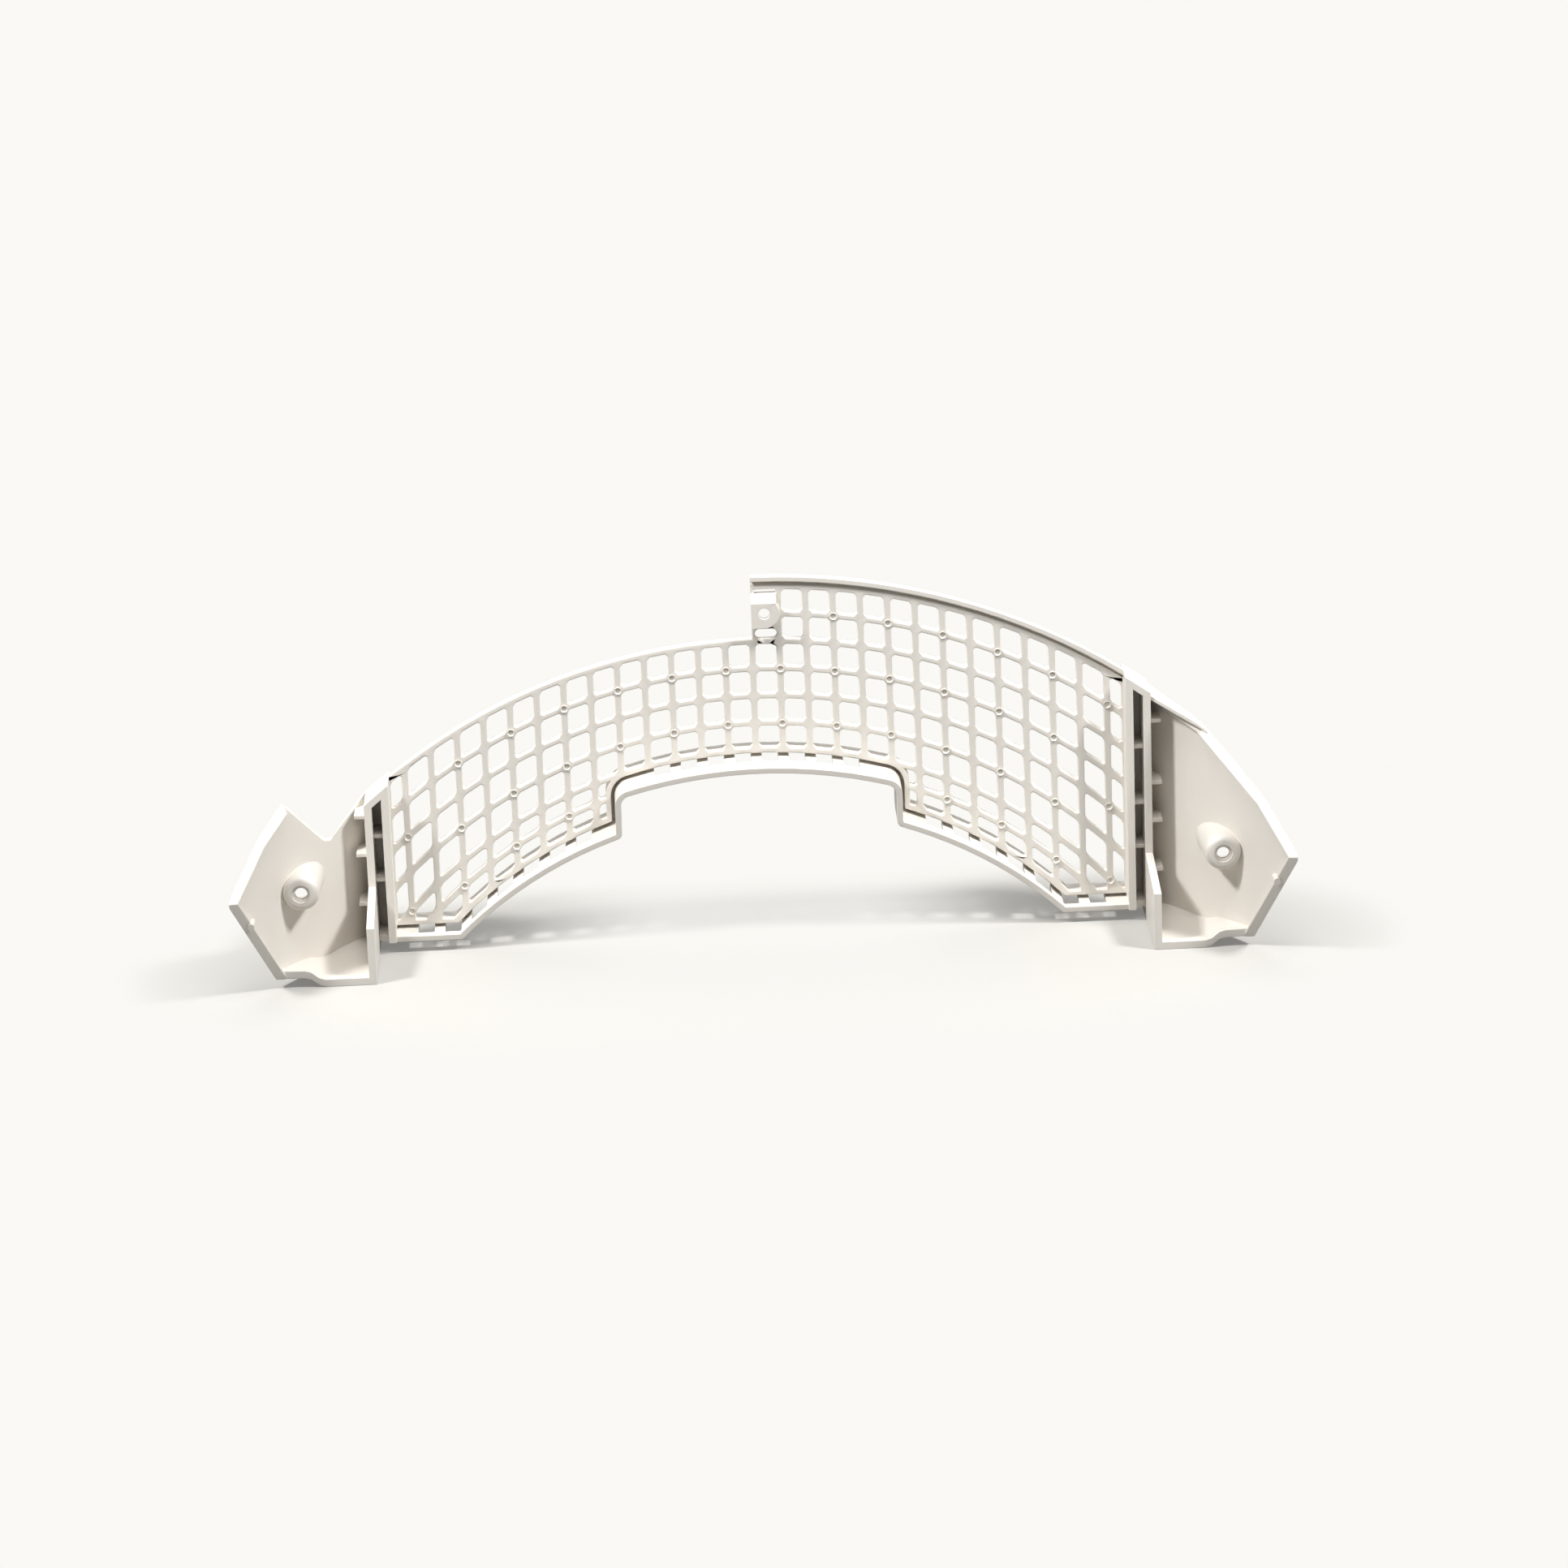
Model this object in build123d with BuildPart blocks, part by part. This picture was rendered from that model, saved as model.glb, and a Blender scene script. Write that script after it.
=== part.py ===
from build123d import *
from math import atan, cos, sin, sqrt
import os

os.makedirs("parts", exist_ok=True)

# Dryer lint filter guide, one moulding, in mm.
# X runs to the right, Y away from the open side and Z up; it stands on the feet of its two wings at Z 0.
# Every drawing across the face is measured from the centre that all the arcs of the grille share.

# Grille
bar_pitch = 11.5         # upright bars, centre to centre
ring_pitch = 12.0        # curved bars, centre to centre, measured along the radius
low_ring_pitch = 8.45    # the two shallow rows beside the notch
bar_width = 2.7
plate_thick = 3.0
corner_cut = 1.1         # size of the cut corners of each opening
notch_radius = 202.35    # lower edge of the grille over the notch
low_radius = 185.4       # lower edge of the grille beside the notch
notch_half = 62.5
flat_height = 132.2      # lower edge of the grille at its two ends, above the arc centre
half_width = 156.4
rings_left = 4           # full rows on the left half
rings_right = 6          # full rows on the right half
notch_round = 9.0
notch_foot_share = 0.7   # rounding of the corners at the foot of the notch, for each mm they stand out
side_border = 2.2
end_strip = 0.6          # left between the last openings and the end walls
least_opening = 5.0      # trimmed openings with less area than this stay closed

# Rim, groove and windows
groove = 1.6
rim_wall = 2.5
rim_near = -10.5         # near edge of the rim at the two ends of the grille
rim_lean = 0.085         # how fast that edge comes nearer with height
rim_far = 9.0            # far edge of the rim
skin = 2.0
window_width = 6.9
window_near = -6.0
notch_windows = 4        # on each side of the middle, over the notch
first_low_window = 6     # upright bar that the first window beside the notch follows
last_low_window = 12

# Flange along the top of the right half
flange_gap = 1.1
flange_thick = 2.1
flange_near = -1.0

# Channels at the two ends
end_wall = 3.2
wall_near = -11.5
channel = 4.2
channel_ribs = (155.5, 175.0)
channel_rib_right = 200.0
channel_rib_thick = 1.7
channel_rib_near = -7.0
stub_heights = (145.7, 167.6, 184.5)
stub_height_right = 212.0
stub_length = 4.4
stub_near = -9.5
cap_thick = 3.0          # over the top of each channel

# Wings
foot_height = 123.0      # the feet, above the arc centre
foot_near = -48.0        # near edge of the foot
foot_front = -36.0       # where the stepped front of the foot begins
wing_slope = 1.45        # how fast the panel comes forward towards its outer end
foot_wall = 3.4
jog_x = 189.4
jog_run = 6.4
jog_rise = 4.1
cheek_far = 153.8        # top of the cheek beside the foot, where it leaves the end wall
cheek_near = 148.0       # and at its near edge
wing_low = (205.8, 127.5)
wing_corner = (222.3, 169.8)
wing_elbow = (210.0, 190.5)
wing_shoulder = (187.5, 214.2)
wing_top = 224.5         # where the upper edge meets the end wall
corner_round = 6.0
elbow_round = 40.0
shoulder_round = 30.0
edge_rise = 2.4          # height of the sloping edge over the panel
edge_taper = 52.0
edge_width = 3.8
hood_thick = 1.8         # deep ledge along the inner part of the upper edge
hood_near = (-6.5, -27.5)  # its near edge, at the end wall and at the shoulder
vee = (183.75, 176.8)
vee_tip = (199.7, 201.9)
vee_round = 4.0
boss_at = (193.5, 163.5)
boss_root = 9.0
boss_tip = 7.5
boss_round = 2.4
boss_near = -45.0
boss_wall = 2.2
boss_floor = 3.0         # behind the tip of the boss
hole_radius = 2.65
seat_radius = 3.9
seat_depth = 0.8
pin_at = (213.6, 157.6)
pin_radius = 1.4
pin_height = 6.5

# Screw tab at the step
tab_near = -4.5
tab_radius = 6.5
tab_wall = 2.4
tab_ramp = 3.2
tab_hole = (5.4, 265.0)
tab_hole_radius = 2.4
tab_window = (5.9, 254.9)
tab_window_width = 9.4
tab_window_height = 4.1

# Worked out from the sizes above
first_ring = notch_radius + bar_width / 2
rings = [first_ring - 2 * low_ring_pitch, first_ring - low_ring_pitch]
rings = rings + [first_ring + ring_pitch * j for j in range(rings_right + 1)]
left_top = first_ring + ring_pitch * rings_left + bar_width / 2
right_top = first_ring + ring_pitch * rings_right + bar_width / 2
flange_in = right_top + flange_gap
flange_out = flange_in + flange_thick
rim_low = flat_height - groove - rim_wall
wall_b = half_width + end_wall + channel
wing_in = wall_b + end_wall
panel_in = rim_far - skin
panel_run = skin * sqrt(1 + wing_slope**2)
tilt = atan(wing_slope)
tab_width = tab_hole[0] + tab_radius
tab_high = tab_hole[1] + tab_radius * 0.7 + tab_ramp
lap = 0.5                # how far one form runs into the next where they join
far = 400.0              # beyond everything


def facing(y):
    """The plane across the face at depth y, with its origin at the arc centre."""
    return Plane(origin=(0, y, -foot_height), x_dir=(1, 0, 0), z_dir=(0, -1, 0))


def panel_y(x):
    """Depth of the near face of a wing panel."""
    return panel_in - (x - wing_in) * wing_slope


def on_panel(point):
    """A point of the face, as it is measured along the slanted panel."""
    return ((point[0] - wing_in) / cos(tilt), point[1])


def rim_edge(height):
    """Depth of the near edge of the rim."""
    return rim_near - rim_lean * (height - flat_height)


def lower_cut(d):
    """All that lies below the grille, with its edge moved down by d."""
    with BuildSketch() as cut:
        Circle(low_radius - d)
        with Locations((0, (flat_height - d) / 2 - far / 2)):
            Rectangle(2 * far, flat_height - d + far)
        with BuildSketch(mode=Mode.PRIVATE) as notch:
            Circle(notch_radius - d)
            with Locations((0, notch_radius / 2)):
                Rectangle(2 * (notch_half - d), notch_radius * 2, mode=Mode.INTERSECT)
        add(notch.sketch)
        if d > 0:
            feet = [v for v in cut.vertices() if abs(abs(v.X) - notch_half + d) < 0.01 and v.Y <= low_radius]
            fillet(feet, d * notch_foot_share)
        tops = [v for v in cut.vertices() if abs(abs(v.X) - notch_half + d) < 0.01 and v.Y > low_radius]
        fillet(tops, notch_round - d)
    return cut.sketch


def upper_side(left_radius, right_radius, half):
    """All that lies under the top arcs, out to half on both sides."""
    with BuildSketch() as side:
        Circle(right_radius)
        with Locations((half / 2, 0)):
            Rectangle(half, 2 * far, mode=Mode.INTERSECT)
        with BuildSketch(mode=Mode.PRIVATE) as other:
            Circle(left_radius)
            with Locations((-half / 2, 0)):
                Rectangle(half, 2 * far, mode=Mode.INTERSECT)
        add(other.sketch)
    return side.sketch


def cell(x0, x1, low, high):
    """Corner points of one opening between two upright bars and two curved ones."""
    c = min(corner_cut, (x1 - x0) / 3)
    z = lambda r, x: sqrt(r * r - x * x)
    return [
        (x0 + c, z(low, x0 + c)),
        (x1 - c, z(low, x1 - c)),
        (x1, z(low, x1) + c),
        (x1, z(high, x1) - c),
        (x1 - c, z(high, x1 - c)),
        (x0 + c, z(high, x0 + c)),
        (x0, z(high, x0) - c),
        (x0, z(low, x0) + c),
    ]


def foot_strip(share):
    """Section of a foot: an even slope for share 0, its full step for share 1."""
    steps = ((-0.65, 0.0), (-0.25, 0.18), (0.25, 0.82), (0.65, 1.0))
    line = [(wall_b, foot_height)]
    for run, rise in steps:
        x = jog_x + run * jog_run
        slope = (wing_low[1] - foot_height) * (x - wall_b) / (wing_low[0] - wall_b)
        line.append((x, foot_height + share * rise * jog_rise + (1 - share) * slope))
    line.append(wing_low)
    return line + [(x, z + foot_wall) for x, z in reversed(line)]


# Openings of the grille: every cell between the bars, trimmed by the edge of the plate
columns = int(half_width / bar_pitch) + 1
with BuildSketch() as openings:
    for k in range(-columns, columns):
        x0 = max(k * bar_pitch + bar_width / 2, end_strip - half_width)
        x1 = min((k + 1) * bar_pitch - bar_width / 2, half_width - end_strip)
        rows = len(rings) - 1 if k >= 0 else rings_left + 2
        for j in range(rows):
            if k == 0 and j >= rings_left + 2:
                continue
            points = cell(x0, x1, rings[j] + bar_width / 2, rings[j + 1] - bar_width / 2)
            Polygon(*points, align=None)
    add(lower_cut(-side_border), mode=Mode.SUBTRACT)
    with Locations(tab_window):
        SlotOverall(tab_window_width, tab_window_height)
    with Locations((tab_width / 2, (tab_high + right_top - bar_width) / 2)):
        Rectangle(tab_width - bar_width, right_top - bar_width - tab_high)
holes = [f for f in openings.sketch.faces() if f.area > least_opening]

# Grille plate
with BuildPart() as grille:
    with BuildSketch(facing(plate_thick)):
        add(upper_side(left_top, right_top, half_width + lap))
        add(lower_cut(0), mode=Mode.SUBTRACT)
        add(holes, mode=Mode.SUBTRACT)
    extrude(amount=plate_thick)

# Rim below the grille, with the deep groove between the two and the windows through its floor
with BuildPart() as rim:
    with BuildSketch(facing(rim_far)):
        add(upper_side(left_top, left_top, half_width + lap))
        add(lower_cut(groove + rim_wall), mode=Mode.SUBTRACT)
        with BuildSketch(mode=Mode.PRIVATE) as above:
            add(upper_side(far, far, far))
            add(lower_cut(groove), mode=Mode.SUBTRACT)
        add(above.sketch, mode=Mode.SUBTRACT)
    extrude(amount=rim_far - rim_edge(left_top))
    with BuildSketch(Plane.YZ.offset(-far)):
        Polygon(
            (-far, -foot_height),
            (rim_edge(0), -foot_height),
            (rim_edge(far), far - foot_height),
            (-far, far - foot_height),
            align=None,
        )
    extrude(amount=2 * far, mode=Mode.SUBTRACT)
    with BuildSketch(facing(rim_far)):
        add(upper_side(left_top, left_top, half_width + lap))
        add(lower_cut(groove + lap), mode=Mode.SUBTRACT)
        with BuildSketch(mode=Mode.PRIVATE) as above_border:
            add(upper_side(far, far, far))
            add(lower_cut(-side_border), mode=Mode.SUBTRACT)
        add(above_border.sketch, mode=Mode.SUBTRACT)
    extrude(amount=skin)
    with BuildSketch(facing(rim_far)):
        add(upper_side(left_top, left_top, half_width + lap))
        add(lower_cut(0), mode=Mode.SUBTRACT)
        with BuildSketch(mode=Mode.PRIVATE) as above_edge:
            add(upper_side(far, far, far))
            add(lower_cut(-side_border), mode=Mode.SUBTRACT)
        add(above_edge.sketch, mode=Mode.SUBTRACT)
    extrude(amount=rim_far - plate_thick / 2)
    with BuildSketch(facing(rim_far + lap)):
        for k in range(first_low_window, last_low_window + 1):
            for side in (-1, 1):
                with Locations((side * (k + 0.5) * bar_pitch, flat_height)):
                    Rectangle(window_width, far)
        for k in range(notch_windows):
            for side in (-1, 1):
                with Locations((side * (k + 0.5) * bar_pitch, notch_radius)):
                    Rectangle(window_width, far)
        add(lower_cut(0), mode=Mode.INTERSECT)
    extrude(amount=rim_far + lap - window_near, mode=Mode.SUBTRACT)

# Flange along the top of the right half, and the thin skin that carries it
with BuildPart() as flange:
    with BuildSketch(facing(plate_thick)):
        Circle(flange_out)
        Circle(flange_in, mode=Mode.SUBTRACT)
        with Locations((wing_in / 2, far / 2)):
            Rectangle(wing_in, far, mode=Mode.INTERSECT)
    extrude(amount=plate_thick - flange_near)
    with BuildSketch(facing(plate_thick)):
        Circle(flange_in + lap)
        Circle(right_top - lap, mode=Mode.SUBTRACT)
        with Locations((wing_in / 2, far / 2)):
            Rectangle(wing_in, far, mode=Mode.INTERSECT)
    extrude(amount=plate_thick / 2)

# Walls, floor and cross ribs of the two end channels
with BuildPart() as channels:
    for side, top in ((-1, left_top), (1, flange_out)):
        with BuildSketch(facing(rim_far)):
            Circle(top)
            with Locations((side * (half_width + end_wall / 2), rim_low + far / 2)):
                Rectangle(end_wall, far, mode=Mode.INTERSECT)
        extrude(amount=rim_far - wall_near)
        with BuildSketch(facing(rim_far)):
            Circle(top)
            with Locations((side * (wall_b + end_wall / 2), foot_height + far / 2)):
                Rectangle(end_wall, far, mode=Mode.INTERSECT)
        extrude(amount=rim_far - wall_near)
        with BuildSketch(facing(rim_far)):
            Circle(top)
            with Locations((side * (half_width + end_wall + channel / 2), rim_low + far / 2)):
                Rectangle(channel + lap, far, mode=Mode.INTERSECT)
        extrude(amount=skin)
        with BuildSketch(facing(rim_far)):
            with Locations((side * (half_width + end_wall + channel / 2), rim_low + rim_wall / 2)):
                Rectangle(channel + lap, rim_wall)
            heights = channel_ribs if side < 0 else channel_ribs + (channel_rib_right,)
            for height in heights:
                with Locations((side * (half_width + end_wall + channel / 2), height)):
                    Rectangle(channel + lap, channel_rib_thick)
        extrude(amount=rim_far - channel_rib_near)
        with BuildSketch(facing(rim_far)):
            Circle(top)
            Circle(top - cap_thick, mode=Mode.SUBTRACT)
            with Locations((side * (half_width + end_wall + channel / 2), far / 2)):
                Rectangle(channel + lap, far, mode=Mode.INTERSECT)
        extrude(amount=rim_far - wall_near)
        with BuildSketch(facing(rim_far)):
            heights = stub_heights if side < 0 else stub_heights + (stub_height_right,)
            for height in heights:
                with Locations((side * (wing_in + (stub_length - lap) / 2), height)):
                    Rectangle(stub_length + lap, channel_rib_thick)
        extrude(amount=rim_far - stub_near)
        with BuildSketch(Plane.YZ.offset(side * (wall_b + end_wall / 2) - end_wall / 2)):
            Polygon(
                (wall_near + lap, 0),
                (foot_near, 0),
                (foot_near, cheek_near - foot_height),
                (wall_near + lap, cheek_far - foot_height),
                align=None,
            )
        extrude(amount=end_wall)

# Outline of a wing, seen from the near side
with BuildSketch() as wing_outline:
    Polygon(
        (wall_b, foot_height),
        wing_low,
        wing_corner,
        wing_elbow,
        wing_shoulder,
        (wall_b, wing_top),
        align=None,
    )
    for point, radius in (
        (wing_corner, corner_round),
        (wing_elbow, elbow_round),
        (wing_shoulder, shoulder_round),
    ):
        fillet([v for v in wing_outline.vertices() if abs(v.X - point[0]) < 0.01], radius)

# Slanted panel of a wing
with BuildPart() as panel:
    with BuildSketch(facing(rim_far)):
        add(wing_outline.sketch)
    extrude(amount=far / 4)
    with BuildSketch(Plane.XY.offset(-far / 4)):
        Polygon(
            (wall_b - lap, panel_in),
            (wing_in, panel_in),
            (far, panel_y(far)),
            (far, panel_y(far) + panel_run),
            (wing_in, panel_in + panel_run),
            (wall_b - lap, panel_in + panel_run),
            align=None,
        )
    extrude(amount=far, mode=Mode.INTERSECT)

# Raised edge round the outside of a wing, sloping down outwards
low_run = (wing_corner[0] - wing_low[0]) / (wing_corner[1] - wing_low[1])
top_run = (wing_top - wing_shoulder[1]) / (wing_shoulder[0] - wall_b)
beyond = 30.0
across = Plane(
    origin=(wing_in, panel_in, -foot_height),
    x_dir=(cos(tilt), -sin(tilt), 0),
    z_dir=(-sin(tilt), -cos(tilt), 0),
)
with BuildPart() as wing_edge:
    with BuildSketch(across) as raised_edge:
        Polygon(
            on_panel((wall_b - beyond, foot_height - beyond)),
            on_panel((wing_low[0] - low_run * (wing_low[1] - foot_height + beyond), foot_height - beyond)),
            on_panel(wing_corner),
            on_panel(wing_elbow),
            on_panel(wing_shoulder),
            on_panel((wall_b - beyond, wing_top + top_run * beyond)),
            align=None,
        )
    extrude(amount=edge_rise, taper=edge_taper)
    with BuildSketch(across):
        offset(raised_edge.sketch_local, amount=-edge_width, kind=Kind.INTERSECTION)
    extrude(amount=far / 4, mode=Mode.SUBTRACT)
    with BuildSketch(facing(far / 4)):
        add(wing_outline.sketch)
        with Locations((wall_b + lap - far / 2, 0)):
            Rectangle(far, 2 * far, mode=Mode.SUBTRACT)
    extrude(amount=far / 2, mode=Mode.INTERSECT)

# Deep ledge over the inner part of a wing
with BuildPart() as hood:
    with BuildSketch(facing(panel_in + lap)):
        Polygon(
            (wall_b, wing_top),
            wing_shoulder,
            (wing_shoulder[0], wing_shoulder[1] - hood_thick),
            (wall_b, wing_top - hood_thick),
            align=None,
        )
        add(wing_outline.sketch, mode=Mode.INTERSECT)
    extrude(amount=far / 4)
    with BuildSketch(Plane.XY.offset(-far / 4)):
        Polygon(
            (wall_b, panel_in + lap),
            (wing_in, panel_in + lap),
            (wing_shoulder[0], panel_y(wing_shoulder[0]) + lap),
            (wing_shoulder[0], hood_near[1]),
            (wall_b, hood_near[0]),
            align=None,
        )
    extrude(amount=far, mode=Mode.INTERSECT)

# Foot, screw boss and pin of a wing, trimmed at the back of the panel
with BuildPart() as foot:
    for depth, share in ((rim_far, 0), (foot_front, 1)):
        with BuildSketch(facing(depth)):
            Polygon(*foot_strip(share), align=None)
    loft(ruled=True)
    with BuildSketch(facing(foot_front)):
        Polygon(*foot_strip(1), align=None)
    extrude(amount=foot_front - foot_near)
    boss_axis = Axis((boss_at[0], 0, boss_at[1] - foot_height), (0, 1, 0))
    with BuildSketch(Plane.XY.offset(boss_at[1] - foot_height)):
        Polygon(
            (boss_at[0], rim_far),
            (boss_at[0] + boss_root, rim_far),
            (boss_at[0] + boss_root, panel_y(boss_at[0] - boss_root)),
            (boss_at[0] + boss_tip, boss_near),
            (boss_at[0], boss_near),
            align=None,
        )
    revolve(axis=boss_axis)
    rounds = foot.edges().filter_by(GeomType.CIRCLE)
    fillet([e for e in rounds if abs(e.radius - boss_tip) < 0.01], boss_round)
    with BuildSketch(facing(rim_far)):
        with Locations(pin_at):
            Circle(pin_radius)
    extrude(amount=rim_far - panel_y(pin_at[0]) + pin_height)
    with BuildSketch(Plane.XY.offset(-far / 4)):
        Polygon(
            (wall_b - lap, panel_in + panel_run),
            (wing_in, panel_in + panel_run),
            (far, panel_y(far) + panel_run),
            (far, -far),
            (wall_b - lap, -far),
            align=None,
        )
    extrude(amount=far, mode=Mode.INTERSECT)

# A whole wing, with its boss hollowed from behind, its screw hole and the seat round it
boss_core = boss_tip - boss_wall
with BuildPart() as wing:
    add(panel.part)
    add(wing_edge.part)
    add(hood.part)
    add(foot.part)
    with BuildSketch(Plane.XY.offset(boss_at[1] - foot_height)):
        Polygon(
            (boss_at[0], rim_far + far / 4),
            (boss_at[0] + boss_root - boss_wall, rim_far + far / 4),
            (boss_at[0] + boss_root - boss_wall, panel_y(boss_at[0] - boss_root)),
            (boss_at[0] + boss_core, boss_near + boss_floor),
            (boss_at[0], boss_near + boss_floor),
            align=None,
        )
    revolve(axis=boss_axis, mode=Mode.SUBTRACT)
    with BuildSketch(facing(far / 4)):
        with Locations(boss_at):
            Circle(hole_radius)
    extrude(amount=far / 2, mode=Mode.SUBTRACT)
    with BuildSketch(facing(boss_near + seat_depth)):
        with Locations(boss_at):
            Circle(seat_radius)
    extrude(amount=seat_depth + lap, mode=Mode.SUBTRACT)

# The left wing is the same one mirrored, with a rounded vee cut from its top
with BuildPart() as left_wing:
    mirror(wing.part, about=Plane.YZ)
    with BuildSketch(facing(far / 4)) as vee_cut:
        Polygon(
            (-vee[0], vee[1]),
            (-vee_tip[0], vee_tip[1]),
            (-vee_tip[0], far),
            (lap - wall_b, far),
            (lap - wall_b, vee[1]),
            align=None,
        )
        Circle(left_top, mode=Mode.SUBTRACT)
        fillet([v for v in vee_cut.vertices() if abs(v.X + vee[0]) < 0.01], vee_round)
    extrude(amount=far / 2, mode=Mode.SUBTRACT)

# Screw tab at the step, hollow behind, with a ramp above it
with BuildPart() as tab:
    with BuildSketch(facing(plate_thick)):
        with Locations(tab_hole):
            Circle(tab_radius)
        with Locations((tab_hole[0] / 2, tab_hole[1])):
            Rectangle(tab_hole[0], tab_radius * 2)
        with Locations((tab_width / 2, tab_hole[1] - tab_radius * 0.3 / 2)):
            Rectangle(tab_width, tab_radius * 1.7, mode=Mode.INTERSECT)
    extrude(amount=plate_thick - tab_near)
    with BuildSketch(Plane.YZ):
        Polygon(
            (plate_thick, tab_high - tab_ramp - lap - foot_height),
            (tab_near, tab_high - tab_ramp - lap - foot_height),
            (tab_near, tab_high - tab_ramp - foot_height),
            (0, tab_high - foot_height),
            (plate_thick, tab_high - foot_height),
            align=None,
        )
    extrude(amount=tab_width - bar_width / 2)

# The whole guide, and then the same with its origin under the middle of its bounding box
with BuildPart() as guide:
    add(grille.part)
    add(rim.part)
    add(flange.part)
    add(channels.part)
    add(wing.part)
    add(left_wing.part)
    add(tab.part)
    with BuildSketch(facing(plate_thick)):
        with Locations(tab_hole):
            Circle(tab_radius - tab_wall)
    extrude(amount=plate_thick - tab_near - tab_wall, mode=Mode.SUBTRACT)
    with BuildSketch(facing(plate_thick)):
        with Locations(tab_hole):
            Circle(tab_hole_radius)
    extrude(amount=far / 4, mode=Mode.SUBTRACT)

box = guide.part.bounding_box()
middle = box.center()
with BuildPart() as filter_guide:
    with Locations((-middle.X, -middle.Y, -box.min.Z)):
        add(guide.part)

filter_guide.part.label = "filter_guide"
export_step(filter_guide.part, "parts/filter_guide.step")
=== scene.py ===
import math

import bpy
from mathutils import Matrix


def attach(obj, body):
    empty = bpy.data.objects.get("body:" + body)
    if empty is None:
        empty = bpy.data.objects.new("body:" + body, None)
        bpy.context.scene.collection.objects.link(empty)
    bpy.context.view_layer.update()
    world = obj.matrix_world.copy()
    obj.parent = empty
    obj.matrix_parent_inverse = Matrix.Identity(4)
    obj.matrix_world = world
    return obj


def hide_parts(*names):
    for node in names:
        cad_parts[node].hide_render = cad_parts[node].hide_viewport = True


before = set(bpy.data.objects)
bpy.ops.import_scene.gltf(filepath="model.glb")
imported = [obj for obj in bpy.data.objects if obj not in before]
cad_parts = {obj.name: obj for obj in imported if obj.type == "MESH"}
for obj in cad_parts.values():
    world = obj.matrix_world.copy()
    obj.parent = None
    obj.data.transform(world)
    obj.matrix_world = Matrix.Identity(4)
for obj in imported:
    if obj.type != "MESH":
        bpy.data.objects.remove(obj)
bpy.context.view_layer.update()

MM = 0.001

# The grille
FACE = 30.981 * MM            # depth of its near face
END_STRIP = 155.5 * MM        # from the middle to the narrow strip at either end
CENTRE = -123.0 * MM          # height of the centre that the curved bars share
BAR_PITCH = 11.5 * MM
FIRST_RING = 203.7 * MM       # radius of the curved bar over the notch
RING_PITCH = 12.0 * MM
LOW_RING_PITCH = 8.45 * MM    # of the shallow rows beside the notch

# The rounding of the edges
MERGE = 0.004 * MM
ON_FACE = 0.02 * MM           # an edge this close to the near face lies on it
FLAT = math.radians(0.6)
SHARP = math.radians(28)
SMOOTH = math.radians(35)
ROUNDING = 0.9 * MM           # of the level edges that have a bar below them
ROUNDING_STEPS = 3
OTHER_LEVEL = 0.66            # share of it on the other level edges round the openings
UPRIGHT = 0.45                # share of it on the upright ones
ELSEWHERE = 0.27              # share of it off the near face
LEVEL_SLOPE = 1.3             # run over rise from which an edge counts as level
SHORT = 0.9 * MM              # shorter edges beyond the grille stay sharp

# The ejector marks
PAD_RADIUS = 1.5 * MM
PAD_DEPTH = 1.0 * MM
PAD_SIDES = 20
PAD_RIM = 0.4 * MM
PAD_RECESS = 0.5 * MM
PAD_FORWARD = 0.1 * MM        # from the near face to the middle of a mark
TAB_BAR = 1                   # upright bars, counted from the middle: at the tab,
NOTCH_BAR = 7                 # the first with marks beside the notch,
LAST_BAR = 13                 # and the last with marks

# Colours
PALE_PLASTIC = (0.80, 0.762, 0.705, 1)
DEEP_PLASTIC = (0.75, 0.712, 0.655, 1)
BACKDROP = (0.955, 0.945, 0.91, 1)
FLOOR = (0.47, 0.46, 0.435, 1)
FLOOR_BOUNCE = (0.25, 0.247, 0.238, 1)
WARM_WHITE = (1.0, 0.985, 0.96, 1)

# The studio, in metres and watts
FLOOR_SIZE = 12.0
AIM = (0, 0, 0.06)            # the point on the guide that the lamps face
SIDE_POWER = 35
TOP_POWER = 14
BACK_POWER = 13
AMBIENT = 0.03

# A Mix node's sockets for colours
COLOUR_A = 6
COLOUR_B = 7
COLOUR_OUT = 2


class Value:
    """A socket that plain arithmetic can be done on."""

    def __init__(self, nodes, socket):
        self.nodes = nodes
        self.socket = socket

    def maths(self, operation, first, second=0.0):
        return self.nodes.node("ShaderNodeMath", {"operation": operation}, {0: first, 1: second})

    def __add__(self, other):
        return self.maths("ADD", self, other)

    def __radd__(self, other):
        return self.maths("ADD", other, self)

    def __sub__(self, other):
        return self.maths("SUBTRACT", self, other)

    def __rsub__(self, other):
        return self.maths("SUBTRACT", other, self)

    def __mul__(self, other):
        return self.maths("MULTIPLY", self, other)

    def __rmul__(self, other):
        return self.maths("MULTIPLY", other, self)

    def __abs__(self):
        return self.maths("ABSOLUTE", self)

    def clamped(self):
        return self.nodes.node("ShaderNodeClamp", {}, {"Value": self})

    def eased(self, low, high):
        return self.nodes.node(
            "ShaderNodeMapRange",
            {"interpolation_type": "SMOOTHSTEP"},
            {"Value": self, "From Min": low, "From Max": high},
        )


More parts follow.
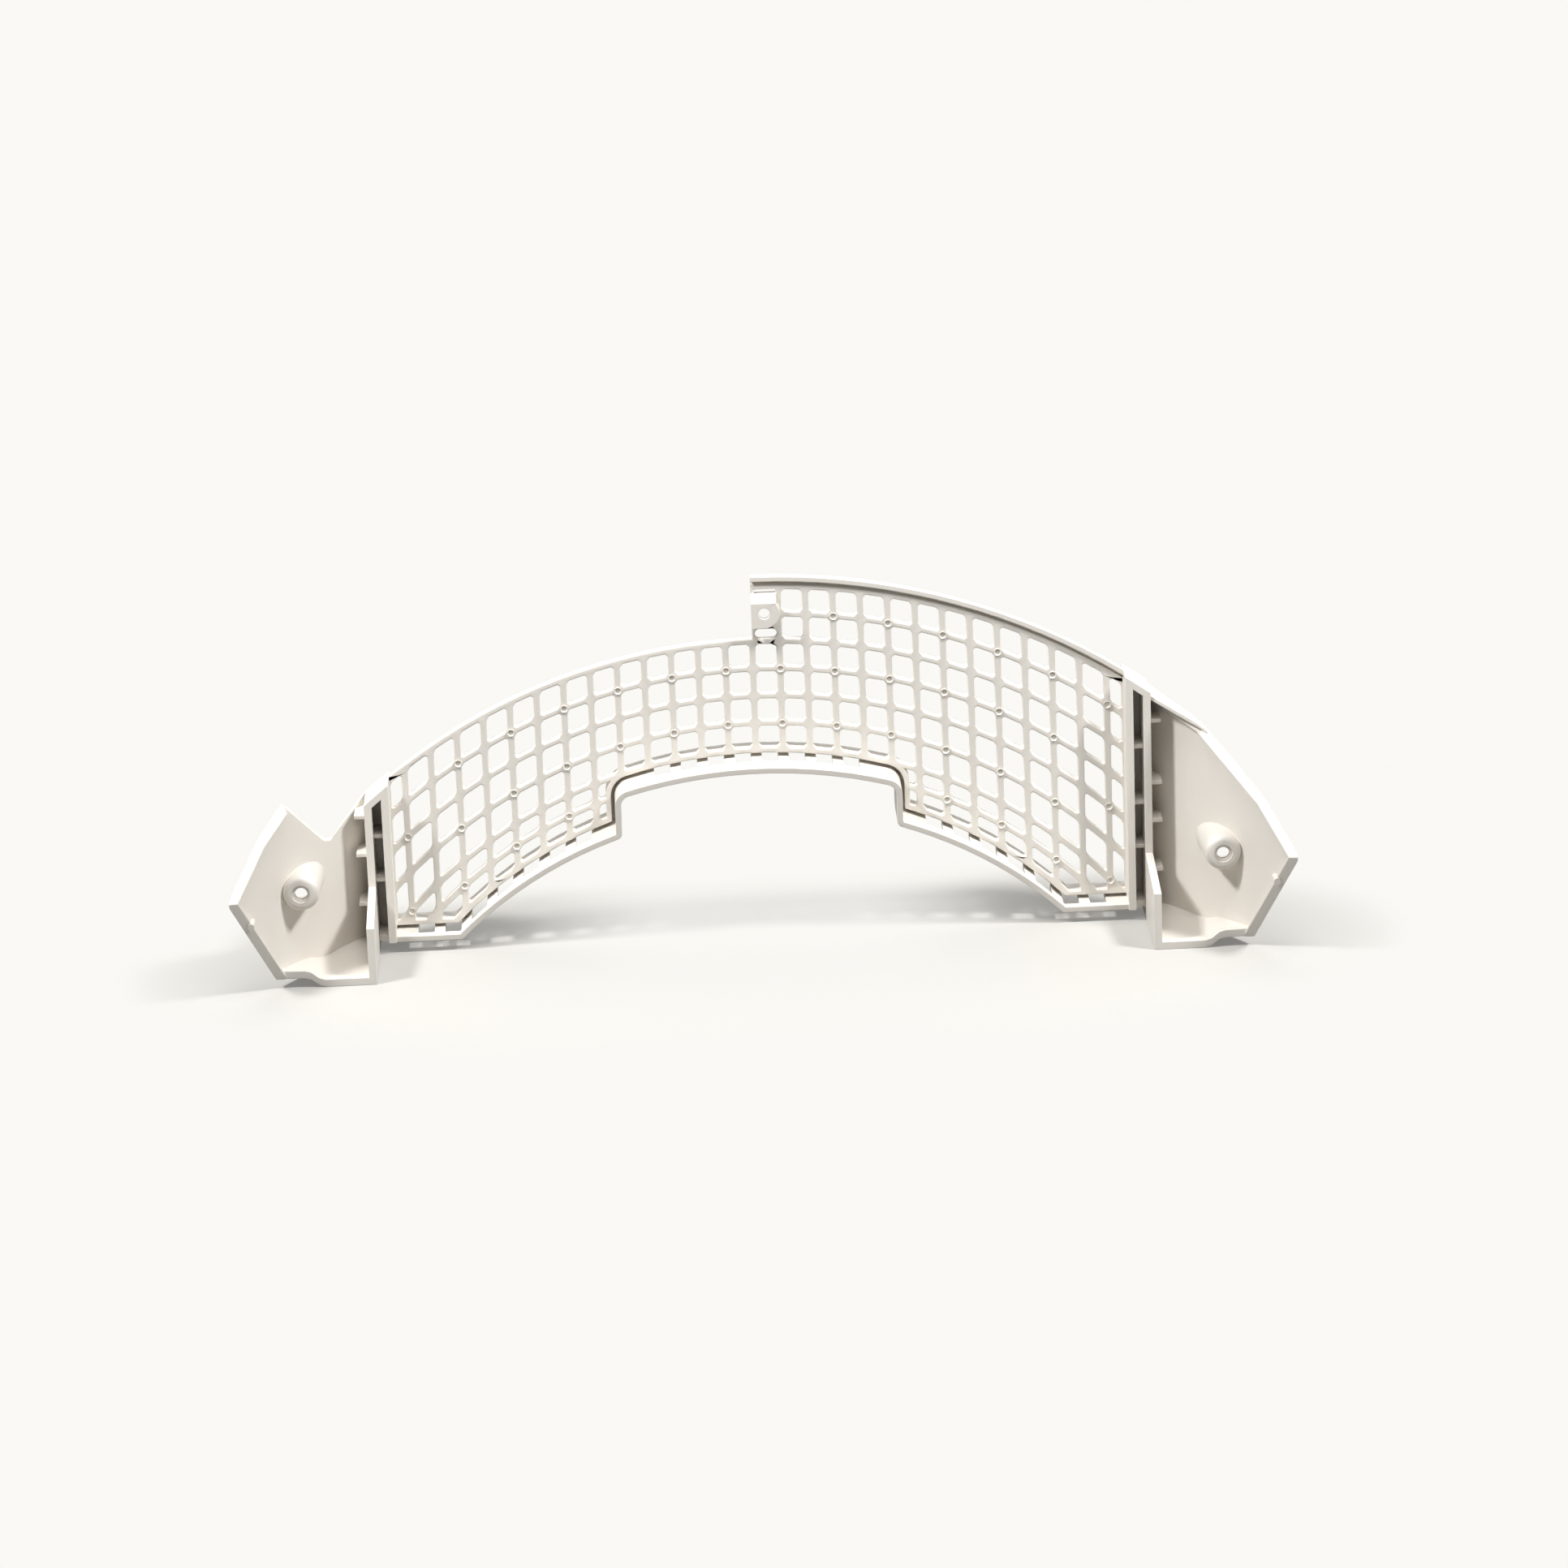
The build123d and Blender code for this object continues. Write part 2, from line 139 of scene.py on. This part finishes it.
class Nodes:
    """The nodes of one material or of the world."""

    def __init__(self, owner):
        owner.use_nodes = True
        self.tree = owner.node_tree
        self.tree.nodes.clear()

    def node(self, kind, settings, sockets, output=0):
        """Adds a node, makes its settings, then fills or links its sockets, and gives one of its outputs."""
        made = self.tree.nodes.new(kind)
        for key, setting in settings.items():
            setattr(made, key, setting)
        for key, content in sockets.items():
            if isinstance(content, Value):
                self.tree.links.new(content.socket, made.inputs[key])
            else:
                made.inputs[key].default_value = content
        return Value(self, made.outputs[output]) if made.outputs else made

    def seen(self):
        """1 for what the camera sees, also in a reflection or through glass, and 0 for light that bounces."""
        camera = self.node("ShaderNodeLightPath", {}, {}, "Is Camera Ray")
        glossy = self.node("ShaderNodeLightPath", {}, {}, "Is Glossy Ray")
        through = self.node("ShaderNodeLightPath", {}, {}, "Is Transmission Ray")
        return (camera + glossy + through).clamped()


def deselect():
    if bpy.context.mode != "OBJECT":
        bpy.ops.object.mode_set(mode="OBJECT")
    bpy.ops.object.select_all(action="DESELECT")


def activate(piece):
    deselect()
    piece.select_set(True)
    bpy.context.view_layer.objects.active = piece


def moulded_plastic():
    """Warm off-white plastic with the fine spark texture and faint cloudiness of a moulding."""
    material = bpy.data.materials.new("moulded_plastic")
    nodes = Nodes(material)
    place = nodes.node("ShaderNodeTexCoord", {}, {}, "Object")

    def noise(scale, detail, roughness):
        sockets = {"Vector": place, "Scale": scale, "Detail": detail, "Roughness": roughness}
        return nodes.node("ShaderNodeTexNoise", {}, sockets)

    cloud = noise(18.0, 3.0, 0.55)
    grain = noise(2600.0, 2.0, 0.6)
    speck = noise(700.0, 2.0, 0.6)
    tone = (cloud - 0.5) * 0.9 + (speck - 0.5) * 0.35 + 0.5
    colour = nodes.node(
        "ShaderNodeMix",
        {"data_type": "RGBA"},
        {"Factor": tone.clamped(), COLOUR_A: DEEP_PLASTIC, COLOUR_B: PALE_PLASTIC},
        COLOUR_OUT,
    )
    sheen = 0.46 + (cloud - 0.5) * 0.12
    bump = nodes.node("ShaderNodeBump", {}, {"Strength": 0.12, "Distance": 0.1 * MM, "Height": grain})
    shader = nodes.node(
        "ShaderNodeBsdfPrincipled",
        {},
        {"Base Color": colour, "Roughness": sheen, "IOR": 1.47, "Normal": bump},
    )
    nodes.node("ShaderNodeOutputMaterial", {}, {"Surface": shader})
    return material


def pale_floor():
    """Pale studio floor that keeps the shadows near the guide and fades to the backdrop round it, with painted
    light that pales the shadow in a band under the middle of the arch.
    """
    material = bpy.data.materials.new("pale_floor")
    nodes = Nodes(material)
    place = nodes.node("ShaderNodeTexCoord", {}, {}, "Object")
    oval = nodes.node("ShaderNodeVectorMath", {"operation": "MULTIPLY"}, {0: place, 1: (0.44, 1.0, 0.0)})
    away = nodes.node("ShaderNodeVectorMath", {"operation": "LENGTH"}, {0: oval}, "Value")
    across = nodes.node("ShaderNodeSeparateXYZ", {}, {0: place}, "X")
    # painted light: in a band under the middle of the arch the floor glows white, which pales the shadow there
    painted_light_under_arch = 1.0 - abs(across).eased(0.04, 0.13)
    # the share of white: the fade to the backdrop away from the guide, plus the painted light under the arch
    fade_and_painted_light = (away.eased(0.092, 0.128) + painted_light_under_arch * 0.75).clamped()
    bounce = nodes.node("ShaderNodeBsdfDiffuse", {}, {"Color": FLOOR_BOUNCE})
    matt = nodes.node("ShaderNodeBsdfDiffuse", {}, {"Color": FLOOR})
    white = nodes.node("ShaderNodeEmission", {}, {"Color": BACKDROP, "Strength": 1.0})
    shown = nodes.node("ShaderNodeMixShader", {}, {0: 0.2 + fade_and_painted_light * 0.8, 1: matt, 2: white})
    shader = nodes.node("ShaderNodeMixShader", {}, {0: nodes.seen(), 1: bounce, 2: shown})
    nodes.node("ShaderNodeOutputMaterial", {}, {"Surface": shader})
    return material


def weigh_edges(mesh):
    """Gives each selected edge its share of the rounding, most of all round the openings of the grille."""
    beside = {}
    for face in mesh.polygons:
        if face.normal.y < -0.99:
            beside.update({key: face.center for key in face.edge_keys})
    weights = mesh.attributes.new("bevel_weight_edge", "FLOAT", "EDGE")
    for edge in mesh.edges:
        if not edge.select:
            continue
        ends = [mesh.vertices[i].co for i in edge.vertices]
        along = ends[0] - ends[1]
        middle = (ends[0] + ends[1]) / 2
        on_face = all(abs(end.y - FACE) < ON_FACE for end in ends)
        within = all(abs(end.x) < END_STRIP for end in ends)
        if on_face and within:
            level = abs(along.x) > abs(along.z) * LEVEL_SLOPE
            over_bar = level and edge.key in beside and beside[edge.key].z < middle.z
            weights.data[edge.index].value = 1.0 if over_bar else OTHER_LEVEL if level else UPRIGHT
        elif within or along.length > SHORT:
            weights.data[edge.index].value = ELSEWHERE


def guide_moulding(plastic):
    """The moulding: its triangles joined into whole faces and its edges rounded as a mould leaves them."""
    guide = bpy.data.objects.new("guide_moulding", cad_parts["filter_guide"].data.copy())
    bpy.context.scene.collection.objects.link(guide)
    activate(guide)
    bpy.ops.mesh.customdata_custom_splitnormals_clear()
    bpy.ops.object.mode_set(mode="EDIT")
    bpy.ops.mesh.select_all(action="SELECT")
    bpy.ops.mesh.remove_doubles(threshold=MERGE)
    bpy.ops.mesh.dissolve_limited(angle_limit=FLAT)
    bpy.ops.mesh.quads_convert_to_tris(quad_method="BEAUTY", ngon_method="BEAUTY")
    bpy.ops.mesh.select_mode(type="EDGE")
    bpy.ops.mesh.select_all(action="DESELECT")
    bpy.ops.mesh.edges_select_sharp(sharpness=SHARP)
    bpy.ops.object.mode_set(mode="OBJECT")
    mesh = guide.data
    weigh_edges(mesh)
    rounding = guide.modifiers.new("rounding", "BEVEL")
    rounding.width = ROUNDING
    rounding.segments = ROUNDING_STEPS
    rounding.limit_method = "WEIGHT"
    rounding.use_clamp_overlap = False
    rounding.loop_slide = False
    bpy.ops.object.modifier_apply(modifier=rounding.name)
    bpy.ops.object.shade_smooth_by_angle(angle=SMOOTH)
    flats = guide.modifiers.new("flats", "WEIGHTED_NORMAL")
    flats.keep_sharp = True
    bpy.ops.object.modifier_apply(modifier=flats.name)
    # the rounding of the feet stays above the floor
    for vertex in mesh.vertices:
        vertex.co.z = max(vertex.co.z, 0.0)
    mesh.materials.clear()
    mesh.materials.append(plastic)
    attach(guide, "root")
    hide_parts("filter_guide")
    return guide


def ejector_pad():
    """One mark: a short round pad with a shallow recess in its near end."""
    deselect()
    bpy.ops.mesh.primitive_cylinder_add(
        vertices=PAD_SIDES, radius=PAD_RADIUS, depth=PAD_DEPTH, rotation=(math.radians(90), 0, 0)
    )
    pad = bpy.context.active_object
    bpy.ops.object.transform_apply(location=True, rotation=True, scale=True)
    bpy.ops.object.mode_set(mode="EDIT")
    bpy.ops.mesh.select_mode(type="FACE")
    bpy.ops.mesh.select_all(action="DESELECT")
    bpy.ops.object.mode_set(mode="OBJECT")
    for face in pad.data.polygons:
        face.select = face.normal.y < -0.9
    bpy.ops.object.mode_set(mode="EDIT")
    bpy.ops.mesh.inset(thickness=PAD_RIM)
    bpy.ops.transform.translate(value=(0, PAD_RECESS, 0))
    bpy.ops.object.mode_set(mode="OBJECT")
    return pad


def marked_rows(step):
    """The curved bars with a mark on one upright bar, counted up from the one over the notch."""
    rows = [0, 2] if abs(step) == LAST_BAR else [1, 3]
    if NOTCH_BAR <= abs(step) < LAST_BAR:
        rows.append(-1)
    if step > TAB_BAR:
        rows.append(5)
    return rows


def ejector_pads(plastic):
    """The small round marks that the ejector pins left where every second upright bar crosses a curved one."""
    pad = ejector_pad()
    pads = []
    for step in range(-LAST_BAR, LAST_BAR + 1, 2):
        x = step * BAR_PITCH
        for row in marked_rows(step):
            radius = FIRST_RING + row * (RING_PITCH if row > 0 else LOW_RING_PITCH)
            activate(pad)
            bpy.ops.object.duplicate()
            copy = bpy.context.active_object
            copy.location = (x, FACE - PAD_FORWARD, CENTRE + math.sqrt(radius**2 - x**2))
            pads.append(copy)
    activate(pad)
    bpy.ops.object.delete()
    for copy in pads:
        copy.select_set(True)
    bpy.context.view_layer.objects.active = pads[0]
    bpy.ops.object.join()
    marks = bpy.context.active_object
    marks.name = "ejector_pads"
    bpy.ops.object.transform_apply(location=True, rotation=True, scale=True)
    bpy.ops.object.shade_smooth_by_angle(angle=SMOOTH)
    marks.data.materials.clear()
    marks.data.materials.append(plastic)
    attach(marks, "root")
    return marks


def studio_floor():
    deselect()
    bpy.ops.mesh.primitive_plane_add(size=FLOOR_SIZE, location=(0, 0, 0))
    floor = bpy.context.active_object
    floor.name = "floor"
    floor.data.materials.append(pale_floor())


def softbox(name, place, width, height, power):
    """A rectangular lamp that faces the guide."""
    lamp = bpy.data.lights.new(name, "AREA")
    lamp.shape = "RECTANGLE"
    lamp.size = width
    lamp.size_y = height
    lamp.energy = power
    holder = bpy.data.objects.new(name, lamp)
    bpy.context.scene.collection.objects.link(holder)
    holder.location = place
    gap = [a - p for a, p in zip(AIM, place)]
    holder.rotation_euler = (
        math.atan2(math.hypot(gap[0], gap[1]), -gap[2]),
        0,
        math.atan2(gap[1], gap[0]) - math.pi / 2,
    )


def studio_light():
    softbox("left_softbox", (-1.12, -0.48, 1.58), 0.28, 0.28, SIDE_POWER)
    softbox("right_softbox", (1.12, -0.48, 1.58), 0.28, 0.28, SIDE_POWER)
    softbox("top_softbox", (0.0, -0.62, 1.95), 0.8, 0.6, TOP_POWER)
    softbox("back_softbox", (0.0, 0.95, 1.75), 1.2, 0.8, BACK_POWER)


def studio_world():
    """A pale backdrop for what is seen, and a faint warm light from all round."""
    world = bpy.data.worlds.new("studio")
    bpy.context.scene.world = world
    nodes = Nodes(world)
    ambient = nodes.node("ShaderNodeBackground", {}, {"Color": WARM_WHITE, "Strength": AMBIENT})
    backdrop = nodes.node("ShaderNodeBackground", {}, {"Color": BACKDROP, "Strength": 1.0})
    shader = nodes.node("ShaderNodeMixShader", {}, {0: nodes.seen(), 1: ambient, 2: backdrop})
    nodes.node("ShaderNodeOutputWorld", {}, {"Surface": shader})


def camera():
    """The camera of the photograph, fitted to the openings of the grille."""
    lens = bpy.data.cameras.new("camera")
    lens.sensor_fit = "HORIZONTAL"
    lens.sensor_width = 36.0
    lens.lens = 130.435
    lens.clip_end = 50.0
    holder = bpy.data.objects.new("camera", lens)
    bpy.context.scene.collection.objects.link(holder)
    holder.location = (-0.04302, -2.26526, 0.81446)
    holder.rotation_euler = (math.radians(71.9186), math.radians(1.9988), math.radians(-2.0062))
    bpy.context.scene.camera = holder


plastic = moulded_plastic()
guide_moulding(plastic)
ejector_pads(plastic)
studio_floor()
studio_light()
studio_world()
camera()
bpy.context.scene.view_settings.view_transform = "Standard"
